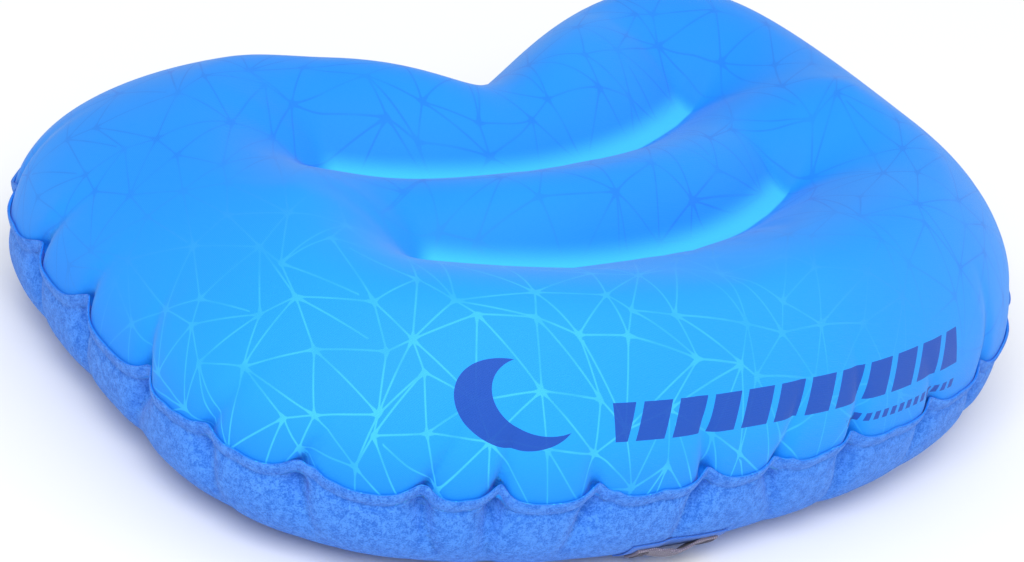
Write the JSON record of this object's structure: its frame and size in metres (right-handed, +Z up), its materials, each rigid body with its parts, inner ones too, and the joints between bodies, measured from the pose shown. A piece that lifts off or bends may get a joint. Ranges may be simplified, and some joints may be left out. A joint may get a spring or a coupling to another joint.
{
  "type": "camp pillow",
  "caption": "Inflatable camp pillow with a printed stretch top, brushed underside, curved weld lines, two-stage air valve and lash loops",
  "frame": {"origin": "centre of the footprint, on the ground under the pillow", "axes": "+X along the pillow's length, +Y towards the dipped rear edge, +Z up"},
  "size_m": [0.36, 0.26, 0.0996],
  "materials": {
    "top_fabric": "printed stretch knit",
    "under_fabric": "brushed heathered knit",
    "air_film": "air-tight laminated web",
    "valve_soft_plastic": "satin flexible moulding",
    "valve_hard_plastic": "satin moulded",
    "flap_rubber": "translucent silicone",
    "button_plastic": "satin moulded",
    "patch_fabric": "plain woven",
    "webbing": "woven tape",
    "thread": "polyester thread"
  },
  "bodies": {
    "root": {"top_panel": "top_fabric", "bottom_panel": "under_fabric", "rear_baffle": "air_film", "front_baffle": "air_film", "valve_base": "valve_soft_plastic", "front_loop_patch": "patch_fabric", "rear_loop_patch": "patch_fabric", "front_lash_loop": "webbing", "rear_lash_loop": "webbing", "front_bar_tacks": "thread", "rear_bar_tacks": "thread"},
    "plug_body": {"plug_tether": "valve_soft_plastic", "valve_plug": "valve_hard_plastic"},
    "cap_body": {"cap_tether": "valve_soft_plastic", "valve_cap": "valve_hard_plastic"},
    "button_body": {"air_flap": "flap_rubber", "tune_button": "button_plastic"}
  },
  "joints": [
    {"name": "plug_hinge", "type": "hinge", "parent": "root", "child": "plug_body", "pos_m": [0.13755, 0.10066, 0.02025], "axis": [0.6428, -0.766, 0], "range_deg": [0, 95]},
    {"name": "cap_hinge", "type": "hinge", "parent": "plug_body", "child": "cap_body", "pos_m": [0.11691, 0.10319, 0.01062], "axis": [0.6634, 0.5567, 0.5], "range_deg": [0, 95]},
    {"name": "button_press", "type": "slide", "parent": "plug_body", "child": "button_body", "axis": [-0.383, -0.3214, 0.866], "range_m": [0, 0.0016], "stiffness_N_per_m": 150}
  ]
}
